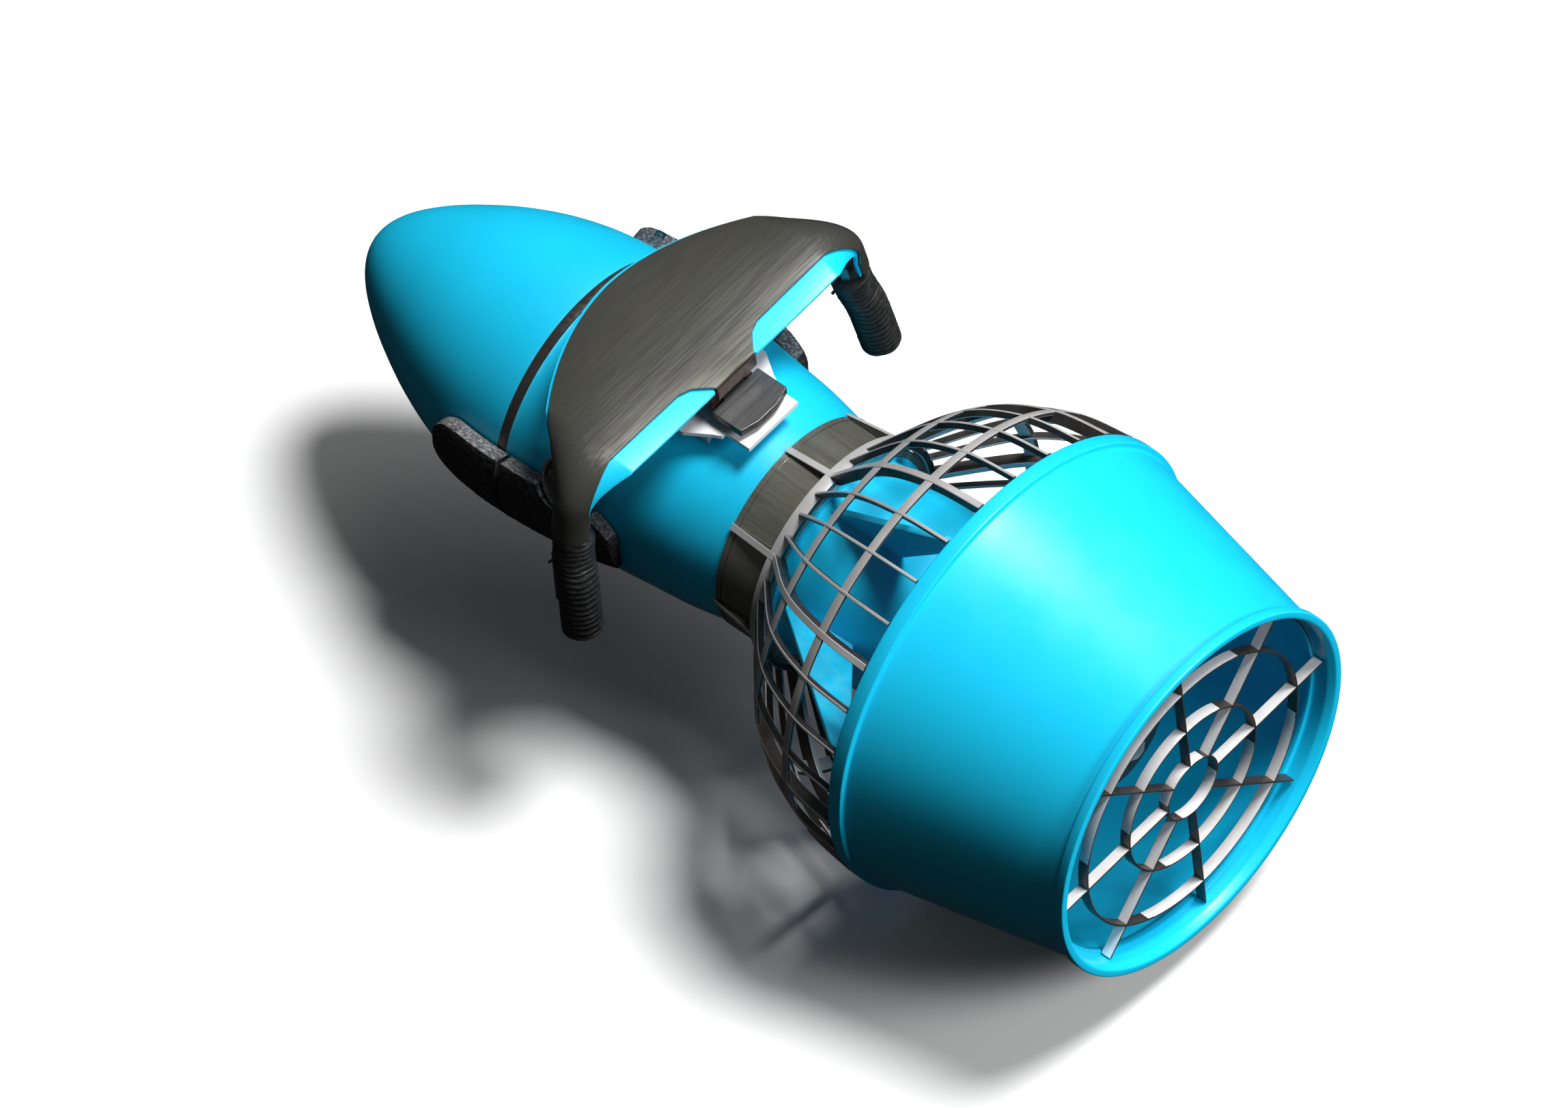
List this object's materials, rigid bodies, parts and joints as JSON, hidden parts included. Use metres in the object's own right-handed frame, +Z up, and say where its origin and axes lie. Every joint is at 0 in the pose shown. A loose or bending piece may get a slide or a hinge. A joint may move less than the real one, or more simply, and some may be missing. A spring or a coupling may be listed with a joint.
{
  "type": "underwater scooter",
  "caption": "Torpedo-shaped water scooter with a caged ducted propeller, winged console, curved hand grips, side bumpers and a pull-off nose.",
  "frame": {"origin": "middle of the footprint, at the level of the flat on the underside of the duct flange", "axes": "+X towards the nose along the thrust axis, +Y to port, +Z up"},
  "size_m": [0.628, 0.2954, 0.2927],
  "materials": {
    "cyan_shell": "gloss moulded",
    "polished_steel": "polished",
    "grey_metal": "satin",
    "dark_plate": "brushed, reflective",
    "black_plastic": "moulded",
    "black_rubber": "ribbed",
    "black_foam": "rough speckled",
    "white_plastic": "satin",
    "brown_plastic": "satin",
    "magnet": "sintered",
    "ballast_iron": "as cast",
    "copper": "wound or plated",
    "circuit_board": "coated"
  },
  "bodies": {
    "hull": {"shroud": "cyan_shell", "rear_guard": "polished_steel", "intake_cage": "grey_metal", "collar": "grey_metal", "motor_pod": "cyan_shell", "motor_bulkhead": "polished_steel", "motor_can": "black_plastic", "motor_magnets": "magnet", "front_bearing": "polished_steel", "rear_bearing": "polished_steel", "shaft_seal": "black_rubber", "main_hull": "cyan_shell", "battery_pack": "black_plastic", "battery_foot": "black_plastic", "terminal_positive": "copper", "terminal_negative": "copper", "battery_strap": "black_rubber", "speed_controller": "circuit_board", "console_shell": "cyan_shell", "console_plate": "dark_plate", "console_riser": "black_plastic", "display_board": "circuit_board", "saddle_bracket": "white_plastic", "charge_socket": "black_plastic", "hinge_block": "brown_plastic", "hinge_pin": "polished_steel", "port_grip": "black_rubber", "port_handle_core": "polished_steel", "port_trigger_pin": "polished_steel", "port_hull_bumper": "black_foam", "starboard_grip": "black_rubber", "starboard_handle_core": "polished_steel", "starboard_trigger_pin": "polished_steel", "starboard_hull_bumper": "black_foam"},
    "drive": {"motor_rotor": "copper", "drive_shaft": "polished_steel", "propeller": "black_plastic", "shear_pin": "polished_steel", "prop_nut": "polished_steel", "prop_washer": "polished_steel"},
    "nose": {"nose_cone": "cyan_shell", "seam_band": "grey_metal", "ballast": "ballast_iron", "port_nose_bumper": "black_foam", "starboard_nose_bumper": "black_foam"},
    "flap": {"rear_flap": "grey_metal"},
    "port_latch": {"port_latch_knob": "grey_metal", "port_latch_cam": "polished_steel"},
    "starboard_latch": {"starboard_latch_knob": "grey_metal", "starboard_latch_cam": "polished_steel"},
    "port_trigger_lever": {"port_trigger": "grey_metal"},
    "starboard_trigger_lever": {"starboard_trigger": "grey_metal"}
  },
  "joints": [
    {"name": "propeller_spin", "type": "hinge", "parent": "hull", "child": "drive", "pos_m": [-0.2, 0, 0.145], "axis": [1, 0, 0], "continuous": true},
    {"name": "nose_pull", "type": "slide", "parent": "hull", "child": "nose", "axis": [1, 0, 0], "range_m": [0, 0.06]},
    {"name": "flap_hinge", "type": "hinge", "parent": "hull", "child": "flap", "pos_m": [0.0336, 0, 0.2384], "axis": [0, 1, 0], "range_deg": [0, 45]},
    {"name": "port_latch_turn", "type": "hinge", "parent": "hull", "child": "port_latch", "pos_m": [0.092, 0.08089, 0.18445], "axis": [0, 0.8988, 0.4384], "range_deg": [0, 90]},
    {"name": "starboard_latch_turn", "type": "hinge", "parent": "hull", "child": "starboard_latch", "pos_m": [0.092, -0.08089, 0.18445], "axis": [0, -0.8988, 0.4384], "range_deg": [0, 90]},
    {"name": "port_trigger_pull", "type": "hinge", "parent": "hull", "child": "port_trigger_lever", "pos_m": [0.06222, 0.12158, 0.18655], "axis": [0, 0.9883, 0.1524], "range_deg": [0, 5], "stiffness_Nm_per_rad": 0.8, "springref_deg": -2.86},
    {"name": "starboard_trigger_pull", "type": "hinge", "parent": "hull", "child": "starboard_trigger_lever", "pos_m": [0.06222, -0.12158, 0.18655], "axis": [0, 0.9883, -0.1524], "range_deg": [0, 5], "stiffness_Nm_per_rad": 0.8, "springref_deg": -2.86}
  ]
}
